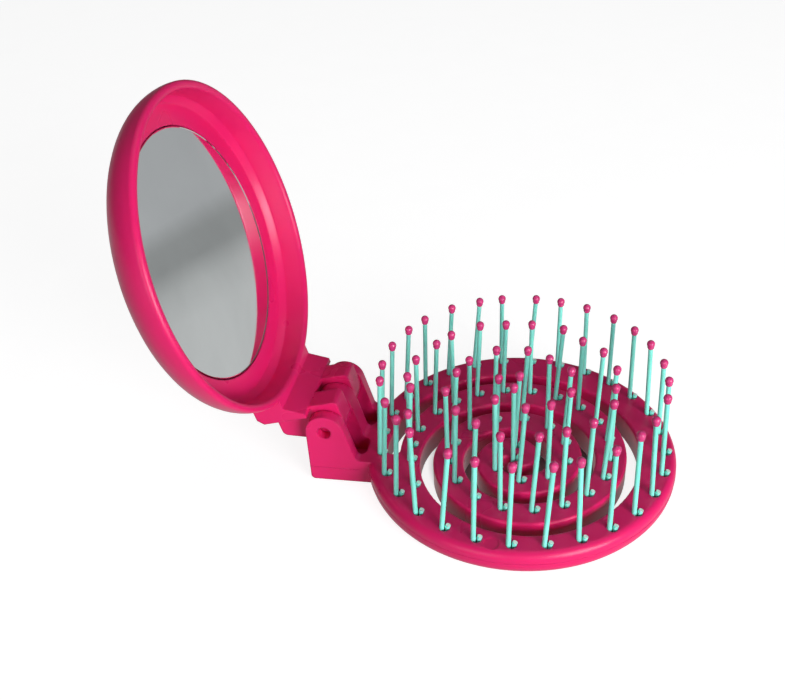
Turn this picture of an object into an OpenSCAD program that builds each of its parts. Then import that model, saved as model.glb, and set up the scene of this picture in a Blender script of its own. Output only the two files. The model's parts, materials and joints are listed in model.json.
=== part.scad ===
// Folding hairbrush with a mirror in its lid.
// The origin is on the underside of the round brush plate, at its centre.
// +X runs from the hinge towards the plate's centre, +Y along the hinge, +Z up.
// The lid is drawn as far open as it stands in the photograph.

/* [Brush plate] */
// Radius of the round brush plate
plate_r = 32.7; // [32:0.1:36]
// Thickness of the brush plate
plate_t = 5.6; // [5.2:0.1:7]
// Rounding of the plate's lower edge
plate_low_round = 2.6; // [1:0.1:3]
// Rounding of the plate's upper edge
plate_top_round = 1.5; // [0.5:0.1:1.9]
// Radius of the two round ejector marks on the plate
mark_r = 1.5; // [0.8:0.1:1.8]
// Depth of the ejector marks
mark_depth = 0.1; // [0.05:0.05:0.3]

/* [Spiral slot] */
// Width of the slot that frees the spiral arm
slot_w = 2.75; // [2:0.05:3.2]
// Rounding of the slot's edges
slot_round = 0.55; // [0.2:0.05:0.6]
// Distance between two turns of the slot
slot_pitch = 9.08; // [8.8:0.02:9.4]
// Distance from the plate's edge to the slot where it starts
slot_start_in = 6.4; // [6.2:0.1:6.8]
// Distance from the plate's edge to the slot along the ring
slot_ring_in = 7.9; // [7.7:0.1:8.4]
// Distance from the plate's edge to the slot where it turns inwards
slot_turn_in = 12.1; // [11.8:0.1:12.4]
// Distance from the plate's edge to the slot where the even spiral starts
slot_spiral_in = 14.75; // [14.5:0.05:15]
// Angle at which the slot starts
slot_start_angle = 185; // [180:1:190]

/* [Bristles] */
// Radius of a bristle
bristle_r = 0.49; // [0.4:0.01:0.55]
// Height of the ball tips' centres above the plate
bristle_h = 18.4; // [16.4:0.5:20.4]
// Gap between the two legs of a folded bristle
leg_gap = 0.16; // [0.12:0.01:0.3]
// Clearance of the folded bristle in its hole
hole_clear = 0.025; // [0.01:0.005:0.05]
// Thickness of the plate below a bristle hole
hole_floor = 1.4; // [1:0.1:1.8]
// Length of the short leg's bent end
stub_l = 0.5; // [0.4:0.05:1]
// Tilt of the short leg's bent end
stub_tilt = 20; // [4:1:24]
// Direction in which the short legs point
stub_dir = 9; // [0:1:20]
// Mean lean of the bristles' tips, along the short legs
lean_mean = 0.45; // [0:0.05:0.6]
// Spread of the bristles' lean
lean_spread = 0.55; // [0:0.05:0.6]

/* [Ball tips] */
// Radius of the upper ball of a tip
ball_r = 0.86; // [0.75:0.01:0.9]
// Radius of the lower ball of a tip
neck_r = 0.74; // [0.66:0.01:0.8]
// Distance between the two balls of a tip
ball_gap = 0.65; // [0.3:0.05:0.7]
// Least gap between the tips and the wall of the closed lid
tip_clear = 0.3; // [0.28:0.01:0.5]

/* [Anchors] */
// Clearance of the flat metal anchors between the two legs
anchor_clear = 0.01; // [0:0.01:0.02]
// Height of the anchors
anchor_h = 1.3; // [0.8:0.1:1.5]
// Bite of each end of an anchor into the plate
anchor_bite = 0.08; // [0.04:0.01:0.15]

/* [Bristle rows] */
// Number of bristles in the outer ring
ring_n = 28; // [20:1:30]
// Distance from the plate's edge to the outer ring of bristles
ring_in = 2.7; // [2.7:0.05:3]
// Number of bristles along the spiral arm
arm_n = 35; // [35:1:35]
// Spacing of the bristles along the spiral arm
arm_step = 6.15; // [6.05:0.01:6.2]

/* [Hinge] */
// Distance from the plate's edge to the hinge axis
hinge_out = 7.15; // [6.8:0.05:8.3]
// Height of the hinge axis above the plate's top
hinge_h = 7; // [6.8:0.1:8]
// Width of the hinge, along its axis
hinge_w = 20.4; // [20:0.1:24]
// Radius of the rounded ends of the lid's ears
knuckle_r = 3.88; // [3.6:0.02:4]
// Radius of the rounded ends of the plate's ears
block_ear_r = 4.05; // [4:0.01:4.2]
// Radius of the hinge pin
hinge_pin_r = 1.4; // [1.2:0.05:1.6]
// Running clearance of the hinge pin
pin_clear = 0.05; // [0.02:0.01:0.1]
// Depth of the pin's ends below the outer faces
pin_sunk = 2; // [0.5:0.1:2.1]
// Thickness of the two outer ears
outer_ear_t = 2.5; // [2.2:0.1:2.8]
// Width of the middle ear
mid_ear_w = 4.2; // [3.6:0.1:5]
// Gap at each side of the lid's ears
ear_gap = 0.3; // [0.2:0.05:0.5]
// Gap below the lid's ears, where the lid stops
stop_gap = 0.37; // [0.35:0.01:0.6]
// Slope of the ears on the plate's side
ear_slope = 75; // [70:1:78]
// Rounding between the ears' slope and the plate
ear_fillet = 1.1; // [0.8:0.1:2]
// Length of the hinge slots beyond the axis
slot_reach = 7.85; // [7.5:0.05:8]
// Rounding of the hinge slots' ends, seen from above
slot_corner = 1.5; // [0.5:0.1:2]
// Thickness of the plate below the hinge slots
slot_floor = 2.2; // [1.5:0.1:2.6]
// Rounding of the hinge block's lower edge
block_round = 0.9; // [0.4:0.1:1.5]

/* [Lid] */
// Distance that the lid's edge stands back from the plate's edge
lid_in = 0.12; // [0:0.01:0.4]
// Overall height of the lid
lid_h = 9.4; // [9.2:0.1:10]
// Rounding of the lid's back
lid_round = 8.5; // [7.5:0.1:8.8]
// Width of the rounded rim
rim_w = 1.71; // [1.5:0.01:1.9]
// Depth of the tips' centres below the closed lid's rim
tips_sunk = 5.05; // [4.6:0.05:5.1]
// Shift of the lid's centre away from the hinge, against the plate's centre
lid_shift = 0.2; // [0:0.05:0.3]
// Thickness of the lid where its wall curves inwards
shell_t = 0.9; // [0.8:0.05:1]
// Depth of the recess around the mirror
band_depth = 6.3; // [6.25:0.05:6.4]
// Angle of the lid from closed, as drawn
lid_open = 105.1; // [0:0.1:108]

/* [Lid hinge] */
// Distance from the hinge axis to the lid's hinge plate
tab_in = 4.4; // [4.3:0.05:4.5]
// Height of the hinge plate's lower edge above the axis
tab_low = 2.2; // [2:0.1:2.6]
// Thickness of the hinge plate at its lower edge
tab_t = 1; // [0.8:0.05:1.1]
// Height of the hinge plate's upper edge above the axis
tab_top = 13; // [12.2:0.1:13.4]
// Distance from the axis to the front face of the lid's ears
ear_front = 5.3; // [5:0.05:5.6]
// Rounding of the front corner of the lid's ears
toe_r = 1; // [0.3:0.1:1.4]
// Rounding of the heel of the lid's ears
heel_r = 1.3; // [0.8:0.1:1.5]

/* [Mirror] */
// Distance from the lid's edge to the mirror's edge
mirror_in = 7.52; // [7.3:0.02:12]
// Clearance around the mirror in its pocket
mirror_clear = 0.25; // [0.1:0.05:0.4]
// Depth of the mirror's face below the rim
mirror_depth = 6.4; // [6.4:0.1:6.7]
// Thickness of the mirror's glass
glass_t = 1.2; // [0.8:0.1:1.4]
// Thickness of the silver and its protective paint
coat_t = 0.15; // [0.1:0.05:0.2]
// Thickness of the adhesive pad
pad_t = 0.6; // [0.4:0.1:0.8]
// Distance of the adhesive pad's edge from the mirror's edge
pad_in = 1.5; // [0.5:0.1:4]

/* [Hidden] */

$fn = 64;
small_fn = 24;
// A joint between two legs is this much thicker than the legs
elbow_more = 0.02;
// The slot's edges meet the plate's faces at a slight angle
edge_lift = 0.02;
// Seams between the arcs of the slot
seam_step = 0.01;
seam_reach = 0.3;
over = 1;

pink = [0.86, 0.13, 0.38];
mint = [0.45, 0.9, 0.83];
tip_pink = [0.88, 0.27, 0.52];
steel = [0.72, 0.73, 0.75];

function unit(a) = [cos(a), sin(a)];

// A chain is a list of arcs [radius, end angle], run clockwise and tangent to each other.
function chain_centre(start, arcs, i) =
    i == 0
    ? start
    : chain_centre(start, arcs, i - 1) + (arcs[i - 1][0] - arcs[i][0]) * unit(arcs[i - 1][1]);
function chain_from(first, arcs, i) = i == 0 ? first : arcs[i - 1][1];
function arc_length(first, arcs, i) =
    arcs[i][0] * (chain_from(first, arcs, i) - arcs[i][1]) * PI / 180;
function chain_point(start, first, arcs, s, i = 0) =
    s <= arc_length(first, arcs, i) || i == len(arcs) - 1
    ? chain_centre(start, arcs, i)
      + arcs[i][0] * unit(chain_from(first, arcs, i) - s / arcs[i][0] * 180 / PI)
    : chain_point(start, first, arcs, s - arc_length(first, arcs, i), i + 1);

// The lengths of the spiral, of its bristles and of the marks are given for a plate of this
// radius. On another plate they grow with it.
drawn_r = 32.7;
grow = plate_r / drawn_r;

// The spiral slot: three long arcs, then quarter turns that shrink evenly, then a hook.
slot_start = grow * [-0.25, -3.05];
quarter_drop = grow * slot_pitch / 4;
spiral_r = grow * (drawn_r - slot_spiral_in);
hook_room = grow * 5.4;
quarters = floor((spiral_r - hook_room) / quarter_drop) + 1;
quarter_from = -180;
last_r = spiral_r - (quarters - 1) * quarter_drop;
hook_drop = grow * 1.3;
hook_end_drop = grow * 4.1;
hook_from = quarter_from - 90 * quarters;
slot_arcs = concat(
    [
        [grow * (drawn_r - slot_start_in), 120],
        [grow * (drawn_r - slot_ring_in), -55],
        [grow * (drawn_r - slot_turn_in), -163]
    ],
    [for (k = [0:quarters - 1]) [spiral_r - k * quarter_drop, quarter_from - 90 * (k + 1)]],
    [
        [last_r - hook_drop, hook_from - 90],
        [last_r - hook_end_drop, hook_from - 185]
    ]
);
slot_last = len(slot_arcs) - 1;
hook_centre = chain_centre(slot_start, slot_arcs, slot_last);

// The line along which the arm's bristles stand, midway between two turns of the slot.
row_start = grow * [-1.4, -3.5];
row_first = 240;
row_in = [11, 12.4, 14.2, 17.6];
first_shift = grow * [-0.9, -0.6];
row_arcs = concat(
    [for (k = [0:3]) [grow * (drawn_r - row_in[k]), 90 - 90 * k]],
    [for (k = [0:5]) [spiral_r - (k + 2) * quarter_drop, quarter_from - 90 * (k + 1)]]
);
row_lead = [10.4, 18.1, 22.7, 28.1, 35.1, 40.8];
row_even_from = 46.8;
row_tail = [0.76, 1.74];
even_n = arm_n - len(row_lead) - len(row_tail);
even_end = row_even_from + arm_step * (even_n - 1);
function row_s(k) =
    k < len(row_lead)
    ? row_lead[k]
    : k < len(row_lead) + even_n
    ? row_even_from + arm_step * (k - len(row_lead))
    : even_end + arm_step * row_tail[k - len(row_lead) - even_n];

// Bristles are numbered clockwise round the ring, then inwards along the arm.
function ring_spot(i) = (plate_r - ring_in) * unit(180 - (i - 1) * 360 / ring_n);
function arm_spot(k) =
    chain_point(row_start, row_first, row_arcs, grow * row_s(k))
    + (k == 0 ? first_shift : [0, 0]);
function spot(n) = n < ring_n ? ring_spot(n) : arm_spot(n - ring_n);

// Each bristle leans a little. A few were bent more in use: [number, lean along X, along Y].
bent = [[25, -2.4, 0.2], [24, 1.4, 0.2], [21, 1.3, 0], [8, 1.2, -0.3], [6, 1.2, 0.2], [2, 1.2, 0]];
function even_lean(n) = [
    lean_mean * cos(stub_dir) + lean_spread * sin(137.5 * n + 40),
    lean_mean * sin(stub_dir) + lean_spread * cos(222.5 * n)
];
function free_lean(n) =
    let (hit = [for (b = bent) if (b[0] == n) [b[1], b[2]]])
    len(hit) > 0 ? hit[0] : even_lean(n);

// The wall of the closed lid curves round this point, seen in its section. Every tip stays
// this far from the middle of the lid, which leaves the gap all round.
lid_r = plate_r - lid_in;
curve_r = lid_round - shell_t;
curve_at = [lid_r - lid_round, lid_h - lid_round];
tip_depth = tips_sunk - curve_at[1];
tip_reach = curve_at[0] + sqrt(pow(curve_r - ball_r - tip_clear, 2) - pow(tip_depth, 2));
function lean(n) =
    let (tip_at = spot(n) + free_lean(n) - [lid_shift, 0])
    free_lean(n) - max(0, 1 - tip_reach / norm(tip_at)) * tip_at;

ring_ids = [0:ring_n - 1];
arm_outer_ids = [ring_n:ring_n + 10];
arm_second_ids = [ring_n + 11:ring_n + 20];
arm_third_ids = [ring_n + 21:ring_n + 30];
arm_centre_ids = [ring_n + 31:ring_n + arm_n - 1];

leg_step = 2 * bristle_r + leg_gap;
hole_r = leg_step / 2 + bristle_r + hole_clear;
bend_z = hole_floor + hole_clear + bristle_r + leg_step / 2;
elbow_sunk = 0.2;
elbow_z = plate_t - elbow_sunk;
stub_lift = 0.12;
stub_z = plate_t + stub_lift;
anchor_t = leg_gap - 2 * anchor_clear;
ejector_marks = grow * [[-3.2, -30.1], [10.4, 28.4]];

hinge_reach = plate_r + hinge_out;
axis_x = -hinge_reach;
axis_z = plate_t + hinge_h;
slot_ear_w = (hinge_w - mid_ear_w) / 2 - outer_ear_t;
lid_ear_w = slot_ear_w - 2 * ear_gap;
ear_mid_y = mid_ear_w / 2 + slot_ear_w / 2;
block_side = axis_x - knuckle_r;
block_ear_x = block_side + block_ear_r;
slope_foot = block_ear_x + (block_ear_r + hinge_h * cos(ear_slope)) / sin(ear_slope);
fillet_run = ear_fillet * tan(ear_slope / 2);
block_in = 3.7;
block_end = -plate_r + block_in;
press_bite = 0.01;

rim_r = rim_w / 2;
rim_h = bristle_h - hinge_h - tips_sunk;
recess_r = lid_r - rim_w;
wall_draft = 0.25;
wall_foot_r = recess_r - wall_draft;
mirror_r = lid_r - mirror_in;
pocket_r = mirror_r + mirror_clear;
pocket_depth = mirror_depth + glass_t + coat_t + pad_t;
wall_foot = curve_at[1] + sqrt(pow(curve_r, 2) - pow(wall_foot_r - curve_at[0], 2));
band_r = curve_at[0] + sqrt(pow(curve_r, 2) - pow(band_depth - curve_at[1], 2));
lid_reach = hinge_reach + lid_shift;
tab_deep = lid_reach - pocket_r;
tab_chamfer = 1.2;
tab_lean = 3.15;

// The lid's ears from the side, from the hinge axis: the heel's centre, and the angle at which
// the heel and the knuckle meet the flank between them.
heel = [0.1, 9];
flank_a = atan2(heel[1], heel[0]) + acos((knuckle_r - heel_r) / norm(heel));

module color_steel() {
    color(steel) children();
}

// Section across the spiral slot, with the rounded edges cut away at its sides.
module slot_edge() {
    difference() {
        translate([0, edge_lift - slot_round]) square([slot_round, slot_round + over]);
        translate([slot_round, edge_lift - slot_round]) circle(slot_round, $fn = small_fn);
    }
}

module slot_half_section(less) {
    half = slot_w / 2 - less;
    translate([0, -over]) square([half, plate_t + 2 * over]);
    translate([half, plate_t]) slot_edge();
    translate([half, 0]) mirror([0, 1]) slot_edge();
}

module slot_section(less) {
    slot_half_section(less);
    mirror([1, 0]) slot_half_section(less);
}

// Every other arc is narrower by a hair and reaches a little into its neighbours.
module slot_arc(i) {
    centre = chain_centre(slot_start, slot_arcs, i);
    from = chain_from(slot_start_angle, slot_arcs, i);
    inner = i % 2;
    reach = inner * seam_reach / slot_arcs[i][0] * 180 / PI;
    translate([centre[0], centre[1], 0])
        rotate([0, 0, slot_arcs[i][1] - reach])
            rotate_extrude(angle = from - slot_arcs[i][1] + 2 * reach)
                translate([slot_arcs[i][0], 0])
                    slot_section(inner * seam_step);
}

// Round end of the slot.
module slot_end(centre, r, a) {
    p = centre + r * unit(a);
    translate([p[0], p[1], 0]) rotate_extrude() slot_half_section(2 * seam_step);
}

module spiral_slot() {
    for (i = [0:slot_last]) slot_arc(i);
    slot_end(slot_start, slot_arcs[0][0], slot_start_angle);
    slot_end(hook_centre, slot_arcs[slot_last][0], slot_arcs[slot_last][1]);
}

module round_plate() {
    rotate_extrude() {
        square([plate_r - plate_low_round, plate_t]);
        translate([0, plate_low_round])
            square([plate_r - plate_top_round, plate_t - plate_low_round]);
        translate([0, plate_low_round])
            square([plate_r, plate_t - plate_low_round - plate_top_round]);
        translate([plate_r - plate_low_round, plate_low_round]) circle(plate_low_round);
        translate([plate_r - plate_top_round, plate_t - plate_top_round]) circle(plate_top_round);
    }
}

// Side view of the hinge block: X across, Z up.
module block_side_view() {
    polygon([
        [block_end, 0],
        [block_side + block_round, 0],
        [block_side, block_round],
        [block_side, axis_z],
        [block_ear_x, axis_z],
        [block_ear_x + block_ear_r * sin(ear_slope), axis_z + block_ear_r * cos(ear_slope)],
        [slope_foot, plate_t],
        [block_end, plate_t]
    ]);
    translate([block_side + block_round, block_round]) circle(block_round, $fn = small_fn);
    translate([block_ear_x, axis_z]) circle(block_ear_r);
    difference() {
        polygon([
            [slope_foot - fillet_run * cos(ear_slope), plate_t + fillet_run * sin(ear_slope)],
            [slope_foot, plate_t],
            [slope_foot + fillet_run, plate_t]
        ]);
        translate([slope_foot + fillet_run, plate_t + ear_fillet]) circle(ear_fillet);
    }
}

module along_y(width) {
    translate([0, width / 2, 0]) rotate([90, 0, 0]) linear_extrude(width) children();
}

// Outline of a hinge slot from above, with rounded corners at its end.
module hinge_slot_outline() {
    straight = slot_reach - slot_corner;
    corner_y = slot_ear_w / 2 - slot_corner;
    translate([0, -slot_ear_w / 2]) square([straight, slot_ear_w]);
    translate([0, -corner_y]) square([slot_reach, 2 * corner_y]);
    for (side = [-1, 1])
        translate([straight, side * corner_y]) circle(slot_corner, $fn = small_fn);
}

module hinge_slots() {
    for (side = [-1, 1])
        translate([axis_x, side * ear_mid_y, 0]) {
            translate([-2 * knuckle_r, -slot_ear_w / 2, axis_z - knuckle_r - stop_gap])
                cube([2 * knuckle_r + over, slot_ear_w, 3 * knuckle_r]);
            translate([0, 0, slot_floor])
                linear_extrude(axis_z + knuckle_r) hinge_slot_outline();
        }
}

module y_rod(r, length) {
    rotate([90, 0, 0]) cylinder(r = r, h = length, center = true);
}

module bristle_holes() {
    for (n = [0:ring_n + arm_n - 1])
        translate([spot(n)[0], spot(n)[1], hole_floor])
            rotate([0, 0, stub_dir])
                translate([leg_step / 2, 0, 0])
                    cylinder(r = hole_r, h = plate_t, $fn = small_fn);
}

module brush_plate() {
    color(pink)
        difference() {
            union() {
                round_plate();
                along_y(hinge_w) block_side_view();
            }
            spiral_slot();
            hinge_slots();
            bristle_holes();
            translate([axis_x, 0, axis_z]) {
                y_rod(hinge_pin_r - press_bite, hinge_w / 2);
                for (side = [-1, 1])
                    translate([0, side * (hinge_w - outer_ear_t) / 2, 0])
                        y_rod(hinge_pin_r + pin_clear, outer_ear_t + over);
            }
            for (m = ejector_marks)
                translate([m[0], m[1], plate_t - mark_depth]) cylinder(r = mark_r, h = over);
        }
}

// Moves to the elbow of bristle n and tilts along its upper part.
module at_elbow(n) {
    d = lean(n);
    run = norm(d);
    translate([spot(n)[0], spot(n)[1], elbow_z])
        rotate([0, atan(run / bristle_h), atan2(d[1], d[0])])
            children();
}

function upper_l(n) = norm([bristle_h, norm(lean(n))]) + plate_t - elbow_z;

module bristle(n) {
    at_elbow(n) {
        sphere(bristle_r + elbow_more, $fn = small_fn);
        cylinder(r = bristle_r, h = upper_l(n), $fn = small_fn);
    }
    translate([spot(n)[0], spot(n)[1], 0])
        rotate([0, 0, stub_dir]) {
            translate([0, 0, bend_z])
                cylinder(r = bristle_r, h = elbow_z - bend_z, $fn = small_fn);
            translate([leg_step / 2, 0, bend_z])
                rotate([90, 180, 0])
                    rotate_extrude(angle = 180, $fn = small_fn)
                        translate([leg_step / 2, 0])
                            circle(bristle_r, $fn = small_fn);
            translate([leg_step, 0, bend_z])
                cylinder(r = bristle_r, h = stub_z - bend_z, $fn = small_fn);
            translate([leg_step, 0, stub_z])
                rotate([0, stub_tilt, 0]) {
                    sphere(bristle_r + elbow_more, $fn = small_fn);
                    cylinder(r = bristle_r, h = stub_l, $fn = small_fn);
                }
        }
}

module tip(n) {
    at_elbow(n)
        difference() {
            translate([0, 0, upper_l(n)]) {
                sphere(ball_r, $fn = small_fn);
                translate([0, 0, -ball_gap]) sphere(neck_r, $fn = small_fn);
            }
            cylinder(r = bristle_r, h = upper_l(n), $fn = small_fn);
        }
}

module anchor(n) {
    width = 2 * (hole_r + anchor_bite);
    translate([spot(n)[0], spot(n)[1], bend_z])
        rotate([0, 0, stub_dir])
            translate([(leg_step - anchor_t) / 2, -width / 2, 0])
                cube([anchor_t, width, anchor_h]);
}

module bristle_row(ids) {
    color(mint)
        for (n = ids) bristle(n);
}

module tip_row(ids) {
    color(tip_pink)
        for (n = ids) tip(n);
}

module anchor_row(ids) {
    color_steel()
        for (n = ids) anchor(n);
}

module ring_bristles() { bristle_row(ring_ids); }
module arm_outer_bristles() { bristle_row(arm_outer_ids); }
module arm_second_bristles() { bristle_row(arm_second_ids); }
module arm_third_bristles() { bristle_row(arm_third_ids); }
module arm_centre_bristles() { bristle_row(arm_centre_ids); }
module ring_tips() { tip_row(ring_ids); }
module arm_outer_tips() { tip_row(arm_outer_ids); }
module arm_second_tips() { tip_row(arm_second_ids); }
module arm_third_tips() { tip_row(arm_third_ids); }
module arm_centre_tips() { tip_row(arm_centre_ids); }
module ring_anchors() { anchor_row(ring_ids); }
module arm_outer_anchors() { anchor_row(arm_outer_ids); }
module arm_second_anchors() { anchor_row(arm_second_ids); }
module arm_third_anchors() { anchor_row(arm_third_ids); }
module arm_centre_anchors() { anchor_row(arm_centre_ids); }

module hinge_pin() {
    chamfer = 0.3;
    length = hinge_w - 2 * pin_sunk;
    color(pink)
        translate([axis_x, -length / 2, axis_z])
            rotate([-90, 0, 0])
                rotate_extrude()
                    polygon([
                        [0, 0],
                        [hinge_pin_r - chamfer, 0],
                        [hinge_pin_r, chamfer],
                        [hinge_pin_r, length - chamfer],
                        [hinge_pin_r - chamfer, length],
                        [0, length]
                    ]);
}

// Moves to the hinge axis with the lid's angle. In there the closed lid's X runs towards the
// plate's centre and its Z up.
module lid_place() {
    translate([axis_x, 0, axis_z]) rotate([0, -lid_open, 0]) children();
}

// Moves to the centre of the lid's rim plane.
module in_lid() {
    lid_place() translate([lid_reach, 0, rim_h]) children();
}

module lid_outer_section() {
    round_from = lid_h - lid_round;
    square([lid_r - lid_round, lid_h]);
    translate([0, rim_r]) square([lid_r, round_from - rim_r]);
    translate([lid_r - rim_r, rim_r]) circle(rim_r, $fn = small_fn);
    intersection() {
        translate([lid_r - lid_round, round_from]) circle(lid_round);
        translate([0, round_from]) square([lid_r, lid_round]);
    }
}

module recess_section() {
    difference() {
        polygon([
            [0, -over],
            [lid_r - rim_r, -over],
            [lid_r - rim_r, rim_r],
            [recess_r, rim_r],
            [wall_foot_r, wall_foot],
            [band_r, band_depth],
            [pocket_r, band_depth],
            [pocket_r, pocket_depth],
            [0, pocket_depth]
        ]);
        translate([lid_r - rim_r, rim_r]) circle(rim_r, $fn = small_fn);
    }
    intersection() {
        translate(curve_at) circle(curve_r);
        polygon([
            curve_at,
            [wall_foot_r, wall_foot],
            [wall_foot_r, band_depth],
            [band_r, band_depth]
        ]);
    }
}

// The full-width plate that carries the lid, from the side.
module tab_side_view() {
    polygon([
        [tab_in, tab_low],
        [tab_in + tab_t, tab_low],
        [tab_in + tab_lean, rim_h],
        [tab_deep, rim_h],
        [tab_deep, tab_top],
        [tab_in + tab_chamfer, tab_top],
        [tab_in, tab_top - tab_chamfer]
    ]);
}

// One of the lid's two ears, from the side.
module lid_ear_side_view() {
    circle(knuckle_r);
    translate(heel) circle(heel_r, $fn = small_fn);
    translate([ear_front - toe_r, toe_r - knuckle_r]) circle(toe_r, $fn = small_fn);
    polygon([
        [0, 0],
        knuckle_r * unit(flank_a),
        heel + heel_r * unit(flank_a),
        heel,
        [heel[0], heel[1] + heel_r],
        [tab_deep, heel[1] + heel_r],
        [tab_deep, rim_h],
        [ear_front, rim_h],
        [ear_front, toe_r - knuckle_r],
        [ear_front - toe_r, toe_r - knuckle_r],
        [ear_front - toe_r, -knuckle_r],
        [0, -knuckle_r]
    ]);
}

module lid_shell() {
    color(pink)
        difference() {
            union() {
                in_lid() rotate_extrude() lid_outer_section();
                lid_place() {
                    along_y(hinge_w) tab_side_view();
                    for (side = [-1, 1])
                        translate([0, side * ear_mid_y, 0])
                            along_y(lid_ear_w)
                                lid_ear_side_view();
                }
            }
            in_lid() rotate_extrude() recess_section();
            lid_place() y_rod(hinge_pin_r + pin_clear, hinge_w + over);
        }
}

module mirror_disc(r, depth, thickness) {
    in_lid() translate([0, 0, depth]) cylinder(r = r, h = thickness);
}

module mirror_glass() {
    color([0.8, 0.82, 0.84]) mirror_disc(mirror_r, mirror_depth, glass_t);
}

module mirror_backing() {
    color([0.35, 0.36, 0.38]) mirror_disc(mirror_r, mirror_depth + glass_t, coat_t);
}

module mirror_pad() {
    color([0.92, 0.92, 0.9])
        mirror_disc(mirror_r - pad_in, mirror_depth + glass_t + coat_t, pad_t);
}

brush_plate();
ring_bristles();
arm_outer_bristles();
arm_second_bristles();
arm_third_bristles();
arm_centre_bristles();
ring_tips();
arm_outer_tips();
arm_second_tips();
arm_third_tips();
arm_centre_tips();
ring_anchors();
arm_outer_anchors();
arm_second_anchors();
arm_third_anchors();
arm_centre_anchors();
hinge_pin();
lid_shell();
mirror_glass();
mirror_backing();
mirror_pad();
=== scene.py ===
"""Looks of a folding hairbrush with a mirror in its lid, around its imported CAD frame.

Lengths are in millimetres and angles in degrees. The plate's axis is Z and the hinge lies
towards -X. The photograph was taken from the -Y side and from above.
"""
import json
import math

import bpy
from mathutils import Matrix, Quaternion, Vector


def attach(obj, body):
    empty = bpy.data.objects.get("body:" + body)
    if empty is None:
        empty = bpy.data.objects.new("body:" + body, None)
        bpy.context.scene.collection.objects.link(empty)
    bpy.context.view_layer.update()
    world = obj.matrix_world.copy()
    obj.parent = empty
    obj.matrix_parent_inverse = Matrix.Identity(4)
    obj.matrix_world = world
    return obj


MM = 0.001
UP = (0.0, 0.0, 1.0)
WHITE = (1.0, 1.0, 1.0, 1.0)

# Camera
CAMERA_AT = (8.7, -152.0, 132.4)
CAMERA_AIM = (-18.9, 14.6, 20.0)
CAMERA_ROLL = -1.93
CAMERA_LENS = 42.12
CAMERA_SENSOR = 36.0
CAMERA_SHIFT = (-0.0613, -0.0089)
CAMERA_NEAR = 5.0
CAMERA_FAR = 20000.0

# Plate and hinge block, with the height and half width of their parting line
PLATE_R = 32.7
BLOCK_FRONT = -33.0
BLOCK_BACK = -43.73
BLOCK_SIDE = 10.2
PARTING_Z = 3.3
PARTING_HALF = 0.05

# The mirror's face and the half width of its ground edge
MIRROR_R = 25.06
MIRROR_AT = (-62.59, 0.0, 47.95)
MIRROR_NORMAL = (0.9655, 0.0, 0.2605)
GROUND_HALF = 0.12

# Rounding of the moulded edges
EDGE_R = 0.5
# An upward face of a bristle below this height is a cut end
CUT_BELOW = 7.0

# What the lamps are aimed at, and the even light all round
LAMP_AIM = (-20.0, 0.0, 25.0)
AMBIENT = (0.11, 0.11, 0.112, 1.0)

# The floor, just under the plate
FLOOR_HALF = 3000.0
FLOOR_DROP = 0.2
FLOOR_DARK = (0.36, 0.36, 0.36, 1.0)
FLOOR_LIGHT = (0.38, 0.38, 0.38, 1.0)
FLOOR_GLOW = 0.86
# Between these distances from the plate's middle the floor's own glow sets in; nearer the middle the
# floor gets painted shade
GLOW_FROM = 17.0
GLOW_FULL = 20.0
# Painted reflection: glossy surfaces see the floor glow in these tones, from the plate's middle to this
# distance along +Y, with a darker band painted across it
PAINTED_REFLECTION_REACH = 600.0
PAINTED_REFLECTION_TONES = [
    (0.0, (0.56, 0.57, 0.57, 1.0)),
    (0.2, (0.54, 0.55, 0.55, 1.0)),
    (0.27, (0.46, 0.47, 0.47, 1.0)),
    (0.34, (0.29, 0.3, 0.3, 1.0)),
    (0.42, (0.3, 0.31, 0.31, 1.0)),
    (0.52, (0.42, 0.43, 0.44, 1.0)),
    (1.0, (0.42, 0.43, 0.44, 1.0)),
]

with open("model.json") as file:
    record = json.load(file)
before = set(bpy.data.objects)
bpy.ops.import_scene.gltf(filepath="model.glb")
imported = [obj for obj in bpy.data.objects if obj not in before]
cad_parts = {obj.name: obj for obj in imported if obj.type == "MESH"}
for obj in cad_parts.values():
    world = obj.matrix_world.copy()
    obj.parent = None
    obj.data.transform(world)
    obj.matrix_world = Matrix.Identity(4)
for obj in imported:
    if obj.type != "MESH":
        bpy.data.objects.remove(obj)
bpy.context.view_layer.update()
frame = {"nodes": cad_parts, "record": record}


# ---------------------------------------------------------------- colours and nodes
def colour(r, g, b):
    """Linear colour from 8-bit screen values."""
    def linear(v):
        v /= 255
        return v / 12.92 if v <= 0.04045 else ((v + 0.055) / 1.055) ** 2.4
    return (linear(r), linear(g), linear(b), 1.0)


def scaled(base, factor):
    return (base[0] * factor, base[1] * factor, base[2] * factor, 1.0)


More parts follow.
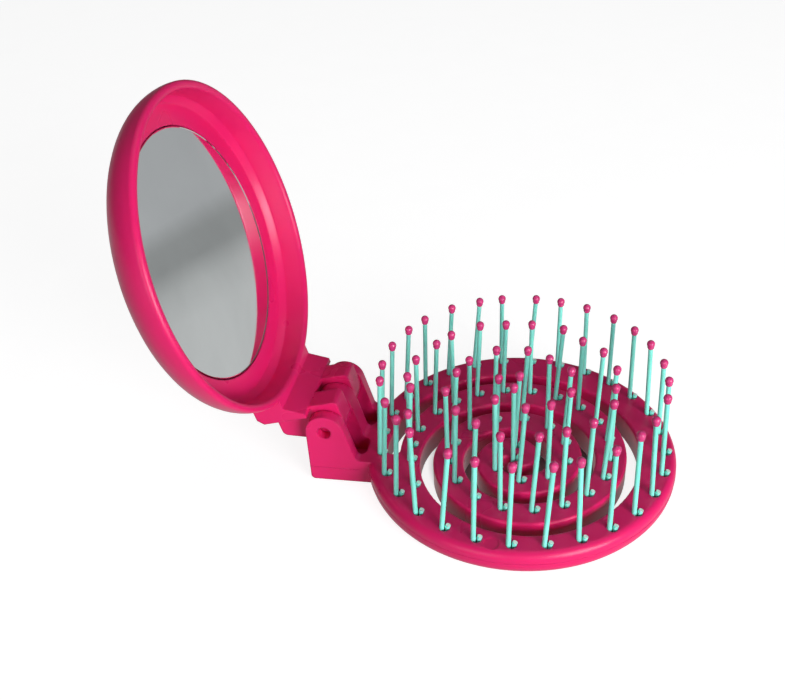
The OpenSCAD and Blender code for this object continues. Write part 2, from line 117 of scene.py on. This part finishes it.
class Nodes:
    """The node tree of a new material or world, with short calls for the nodes used here."""

    # Sockets of the Mix node that carry its two colours and their mixture
    FIRST_COLOUR = 6
    SECOND_COLOUR = 7
    MIXED_COLOUR = 2

    def __init__(self, owner, output="ShaderNodeOutputMaterial"):
        self.owner = owner
        owner.use_nodes = True
        self.tree = owner.node_tree
        self.tree.nodes.clear()
        self.output = self.add(output)

    def add(self, kind, **inputs):
        """A new node. In the inputs' names an underscore stands for a space."""
        node = self.tree.nodes.new(kind)
        for key, value in inputs.items():
            self.feed(node, key.replace("_", " "), value)
        return node

    def feed(self, node, key, value):
        """Links an input to a socket, or sets it to a value."""
        if isinstance(value, bpy.types.NodeSocket):
            self.tree.links.new(value, node.inputs[key])
        else:
            node.inputs[key].default_value = value

    def place(self):
        return self.add("ShaderNodeTexCoord").outputs["Object"]

    def stretched(self, scale):
        node = self.add("ShaderNodeMapping", Vector=self.place(), Scale=scale)
        return node.outputs["Vector"]

    def split(self, vector, axis):
        return self.add("ShaderNodeSeparateXYZ", Vector=vector).outputs[axis]

    def noise(self, scale, detail, vector=None, distortion=0.0):
        node = self.add(
            "ShaderNodeTexNoise",
            Vector=vector or self.place(),
            Scale=scale,
            Detail=detail,
            Distortion=distortion,
        )
        return node.outputs["Fac"]

    def ramp(self, factor, stops):
        node = self.add("ShaderNodeValToRGB", Fac=factor)
        elements = node.color_ramp.elements
        elements[0].position, elements[0].color = stops[0]
        elements[1].position, elements[1].color = stops[-1]
        for position, tone in stops[1:-1]:
            elements.new(position).color = tone
        return node.outputs["Color"]

    def shades(self, factor, base, low, high, start=0.3, end=0.7):
        """Shades of a colour, from low to high while the factor goes from start to end."""
        return self.ramp(factor, [(start, scaled(base, low)), (end, scaled(base, high))])

    def span(self, factor, low, high, start=0.0, end=1.0):
        """A value that goes from low to high while the factor goes from start to end."""
        node = self.add(
            "ShaderNodeMapRange",
            Value=factor,
            From_Min=start,
            From_Max=end,
            To_Min=low,
            To_Max=high,
        )
        return node.outputs["Result"]

    def times(self, value, factor):
        node = self.add("ShaderNodeMath", Value=value)
        node.operation = "MULTIPLY"
        self.feed(node, 1, factor)
        return node.outputs["Value"]

    def length(self, vector):
        node = self.add("ShaderNodeVectorMath", Vector=vector)
        node.operation = "LENGTH"
        return node.outputs["Value"]

    def mix_colours(self, factor, first, second):
        node = self.add("ShaderNodeMix", Factor=factor)
        node.data_type = "RGBA"
        self.feed(node, self.FIRST_COLOUR, first)
        self.feed(node, self.SECOND_COLOUR, second)
        return node.outputs[self.MIXED_COLOUR]

    def bump(self, height, strength, distance):
        return self.add("ShaderNodeBump", Height=height, Strength=strength, Distance=distance * MM)

    def soft_edges(self, radius):
        node = self.add("ShaderNodeBevel", Radius=radius * MM)
        node.samples = 4
        return node.outputs["Normal"]

    def principled(self, **inputs):
        return self.add("ShaderNodeBsdfPrincipled", **inputs)

    def blend(self, factor, first, second):
        node = self.add("ShaderNodeMixShader", Fac=factor)
        self.feed(node, 1, first.outputs[0])
        self.feed(node, 2, second.outputs[0])
        return node

    def sum(self, first, second):
        node = self.add("ShaderNodeAddShader")
        self.feed(node, 0, first.outputs[0])
        self.feed(node, 1, second.outputs[0])
        return node

    def finish(self, shader):
        self.feed(self.output, "Surface", shader.outputs[0])
        return self.owner


# ---------------------------------------------------------------- materials
def moulded_plastic(n, base):
    cloudy = n.noise(scale=45.0, detail=2.0)
    polish = n.noise(scale=90.0, detail=2.0)
    fine = n.noise(scale=2600.0, detail=2.0)
    grain = n.bump(fine, strength=0.06, distance=0.02)
    n.feed(grain, "Normal", n.soft_edges(EDGE_R))
    return n.principled(
        Base_Color=n.shades(cloudy, base, low=0.95, high=1.04),
        Roughness=n.span(polish, low=0.26, high=0.36, start=0.3, end=0.7),
        Normal=grain.outputs["Normal"],
        Specular_IOR_Level=0.33,
        Subsurface_Weight=0.15,
        Subsurface_Radius=(1.0, 0.25, 0.4),
        Subsurface_Scale=1.2 * MM,
    )


def nylon(n, base, cut_colour):
    """Drawn filament, with paler cut ends on the short legs."""
    streaks = n.noise(scale=900.0, detail=2.0, vector=n.stretched((1.0, 1.0, 0.12)))
    facing = n.split(n.add("ShaderNodeNewGeometry").outputs["Normal"], "Z")
    height = n.split(n.place(), "Z")
    upward = n.span(facing, low=0.0, high=1.0, start=0.8, end=0.9)
    near_floor = n.span(height, low=1.0, high=0.0, start=CUT_BELOW * MM, end=(CUT_BELOW + 0.2) * MM)
    side_colour = n.shades(streaks, base, low=0.86, high=1.06)
    return n.principled(
        Base_Color=n.mix_colours(n.times(upward, near_floor), side_colour, cut_colour),
        Roughness=n.span(streaks, low=0.28, high=0.42),
        Normal=n.bump(streaks, strength=0.15, distance=0.05).outputs["Normal"],
        Subsurface_Weight=0.25,
        Subsurface_Radius=(0.4, 1.0, 0.8),
        Subsurface_Scale=0.6 * MM,
    )


def resin(n, base):
    mottled = n.noise(scale=1400.0, detail=3.0)
    lumps = n.noise(scale=700.0, detail=2.0)
    return n.principled(
        Base_Color=n.shades(mottled, base, low=0.85, high=1.1),
        Roughness=n.span(mottled, low=0.14, high=0.28),
        Normal=n.bump(lumps, strength=0.35, distance=0.2).outputs["Normal"],
        Subsurface_Weight=0.2,
        Subsurface_Radius=(1.0, 0.3, 0.5),
        Subsurface_Scale=0.6 * MM,
    )


def drawn_metal(n, base):
    drawn = n.noise(scale=800.0, detail=4.0, vector=n.stretched((1.0, 0.05, 1.0)))
    return n.principled(
        Base_Color=n.shades(drawn, base, low=0.8, high=1.0, start=0.2, end=0.8),
        Roughness=n.span(drawn, low=0.3, high=0.48),
        Normal=n.bump(drawn, strength=0.2, distance=0.03).outputs["Normal"],
        Metallic=1.0,
    )


def silvered_glass(n, base):
    haze = n.noise(scale=38.0, detail=5.0, distortion=0.6)
    smudge = n.noise(scale=120.0, detail=6.0, vector=n.stretched((1.0, 1.0, 0.35)))
    waves = n.noise(scale=20.0, detail=1.0)
    return n.principled(
        Base_Color=n.shades(haze, base, low=0.9, high=1.0),
        Roughness=n.span(smudge, low=0.03, high=0.1, start=0.35, end=0.75),
        Normal=n.bump(waves, strength=0.03, distance=0.5).outputs["Normal"],
        Metallic=1.0,
    )


def dull(n, base, grain, smoothest, roughest):
    speckle = n.noise(scale=grain, detail=4.0)
    return n.principled(
        Base_Color=n.shades(speckle, base, low=0.85, high=1.0),
        Roughness=n.span(speckle, low=smoothest, high=roughest),
        Normal=n.bump(speckle, strength=0.3, distance=0.08).outputs["Normal"],
    )


def make_material(name, look, *settings):
    """A material by the name of its slot, with one of the looks above."""
    n = Nodes(bpy.data.materials.new(name))
    return n.finish(look(n, *settings))


PINK = colour(224, 30, 104)
MINT = colour(138, 238, 222)
PALE_MINT = colour(214, 240, 232)
TIP_PINK = colour(214, 62, 128)
STEEL = (0.6, 0.61, 0.63, 1.0)
SILVER = (0.86, 0.88, 0.88, 1.0)
SLATE = (0.1, 0.11, 0.13, 1.0)
CREAM = (0.85, 0.85, 0.82, 1.0)

materials = {
    "pink_plastic": make_material("pink_plastic", moulded_plastic, PINK),
    "mint_nylon": make_material("mint_nylon", nylon, MINT, PALE_MINT),
    "tip_resin": make_material("tip_resin", resin, TIP_PINK),
    "steel": make_material("steel", drawn_metal, STEEL),
    "mirror_glass": make_material("mirror_glass", silvered_glass, SILVER),
    "mirror_paint": make_material("mirror_paint", dull, SLATE, 300.0, 0.4, 0.6),
    "adhesive": make_material("adhesive", dull, CREAM, 900.0, 0.65, 0.85),
}


def dress_frame():
    """Gives every CAD node the material of its slot."""
    for part in frame["record"]["subparts"]:
        slots = frame["nodes"][part["node"]].data.materials
        slots.clear()
        slots.append(materials[part["material_slot"]])


# ---------------------------------------------------------------- small pieces
def new_object(name, data):
    thing = bpy.data.objects.new(name, data)
    bpy.context.scene.collection.objects.link(thing)
    return thing


def ring_path(radius, steps=360):
    turn = 2.0 * math.pi / steps
    return [(radius * math.cos(i * turn), radius * math.sin(i * turn)) for i in range(steps)]


def section_at(path, i, half, closed):
    """The four corners of the line's square section at a point of its path."""
    count = len(path)
    x, y = path[i]
    before = path[i - 1] if closed or i > 0 else path[i]
    after = path[(i + 1) % count] if closed or i < count - 1 else path[i]
    way = Vector((after[0] - before[0], after[1] - before[1])).normalized()
    corners = ((half, 0.0), (0.0, half), (-half, 0.0), (0.0, -half))
    return [Vector((x + way.y * out_by, y - way.x * out_by, up_by)) * MM for out_by, up_by in corners]


def raised_line(name, path, half, closed, centre, normal, body, slot_name):
    """A faint raised line of square section, on edge, along a flat path."""
    count = len(path)
    points = []
    for i in range(count):
        points += section_at(path, i, half, closed)
    faces = []
    for i in range(count if closed else count - 1):
        j = (i + 1) % count
        for k in range(4):
            m = (k + 1) % 4
            faces.append((4 * i + k, 4 * j + k, 4 * j + m, 4 * i + m))
    mesh = bpy.data.meshes.new(name)
    mesh.from_pydata(points, [], faces)
    mesh.materials.append(materials[slot_name])
    line = new_object(name, mesh)
    line.rotation_euler = Vector(UP).rotation_difference(Vector(normal)).to_euler()
    line.location = Vector(centre) * MM
    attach(line, body)


def parting_lines():
    """Where the halves of the mould met, round the plate and round the hinge block."""
    at = (0.0, 0.0, PARTING_Z)
    ring = ring_path(PLATE_R)
    raised_line("parting_line", ring, PARTING_HALF, True, at, UP, "brush", "pink_plastic")
    block = [
        (BLOCK_FRONT, -BLOCK_SIDE),
        (BLOCK_BACK, -BLOCK_SIDE),
        (BLOCK_BACK, BLOCK_SIDE),
        (BLOCK_FRONT, BLOCK_SIDE),
    ]
    raised_line("block_parting_line", block, PARTING_HALF, False, at, UP, "brush", "pink_plastic")


def mirror_edge():
    """The ground edge of the glass, which catches the light."""
    ring = ring_path(MIRROR_R - GROUND_HALF)
    raised_line("mirror_edge", ring, GROUND_HALF, True, MIRROR_AT, MIRROR_NORMAL, "lid", "mirror_glass")


# ---------------------------------------------------------------- camera and light
def point_at(obj, at, target, roll=0.0):
    direction = Vector(target) - Vector(at)
    turn = direction.to_track_quat("-Z", "Y") @ Quaternion(UP, math.radians(roll))
    obj.rotation_euler = turn.to_euler()
    obj.location = Vector(at) * MM


def place_camera():
    """The camera of the photograph."""
    camera = new_object("camera", bpy.data.cameras.new("camera"))
    camera.data.sensor_width = CAMERA_SENSOR
    camera.data.lens = CAMERA_LENS
    camera.data.shift_x, camera.data.shift_y = CAMERA_SHIFT
    camera.data.clip_start = CAMERA_NEAR * MM
    camera.data.clip_end = CAMERA_FAR * MM
    point_at(camera, CAMERA_AT, CAMERA_AIM, CAMERA_ROLL)
    bpy.context.scene.camera = camera


def soft_box(name, azimuth, elevation, distance, size, power):
    """A square lamp. Its azimuth counts from +X, and its power is in watts."""
    a = math.radians(azimuth)
    e = math.radians(elevation)
    way = Vector((math.cos(a) * math.cos(e), math.sin(a) * math.cos(e), math.sin(e)))
    lamp = new_object(name, bpy.data.lights.new(name, "AREA"))
    lamp.data.shape = "SQUARE"
    lamp.data.size = size * MM
    lamp.data.energy = power
    aim = Vector(LAMP_AIM)
    point_at(lamp, aim + way * distance, aim)


def light_studio():
    """Soft light from the front and above, and white where the camera sees past the floor."""
    soft_box("key", azimuth=-45.0, elevation=12.0, distance=600.0, size=300.0, power=4.2)
    soft_box("fill", azimuth=-110.0, elevation=14.0, distance=700.0, size=400.0, power=1.1)
    soft_box("top", azimuth=60.0, elevation=75.0, distance=700.0, size=350.0, power=0.35)
    n = Nodes(bpy.data.worlds.new("studio"), "ShaderNodeOutputWorld")
    path = n.add("ShaderNodeLightPath")
    ambient = n.add("ShaderNodeBackground", Color=AMBIENT)
    white = n.add("ShaderNodeBackground", Color=WHITE)
    bpy.context.scene.world = n.finish(n.blend(path.outputs["Is Camera Ray"], ambient, white))


# ---------------------------------------------------------------- floor
def floor_material():
    n = Nodes(bpy.data.materials.new("floor"))
    paper = n.noise(scale=60.0, detail=3.0)
    lit = n.add("ShaderNodeBsdfDiffuse", Color=n.ramp(paper, [(0.3, FLOOR_DARK), (0.7, FLOOR_LIGHT)]))
    # Painted shade: the floor's glow fades out below the plate's middle, as if the plate kept the light
    # off it
    away = n.length(n.place())
    glow_outside_painted_shade = n.span(away, low=0.0, high=1.0, start=GLOW_FROM * MM, end=GLOW_FULL * MM)
    glow = n.add("ShaderNodeEmission", Color=WHITE, Strength=n.times(glow_outside_painted_shade, FLOOR_GLOW))
    # Painted reflection: the mirror and other glossy surfaces see the floor behind the brush glow in
    # grey tones, with a painted dark band across it
    along = n.span(n.split(n.place(), "Y"), low=0.0, high=1.0, end=PAINTED_REFLECTION_REACH * MM)
    painted_reflection = n.add("ShaderNodeEmission", Color=n.ramp(along, PAINTED_REFLECTION_TONES))
    path = n.add("ShaderNodeLightPath")
    seen = n.blend(path.outputs["Is Camera Ray"], lit, n.sum(lit, glow))
    return n.finish(n.blend(path.outputs["Is Glossy Ray"], seen, painted_reflection))


def make_floor():
    """A pale floor, with painted shade below the plate's middle and a painted reflection for glossy
    surfaces.
    """
    side = FLOOR_HALF * MM
    corners = [(-side, -side, 0), (side, -side, 0), (side, side, 0), (-side, side, 0)]
    mesh = bpy.data.meshes.new("floor")
    mesh.from_pydata(corners, [], [(0, 1, 2, 3)])
    mesh.materials.append(floor_material())
    floor = new_object("floor", mesh)
    floor.location.z = -FLOOR_DROP * MM


# ---------------------------------------------------------------- the scene
dress_frame()
parting_lines()
mirror_edge()
place_camera()
light_studio()
make_floor()
bpy.context.scene.view_settings.view_transform = "Standard"
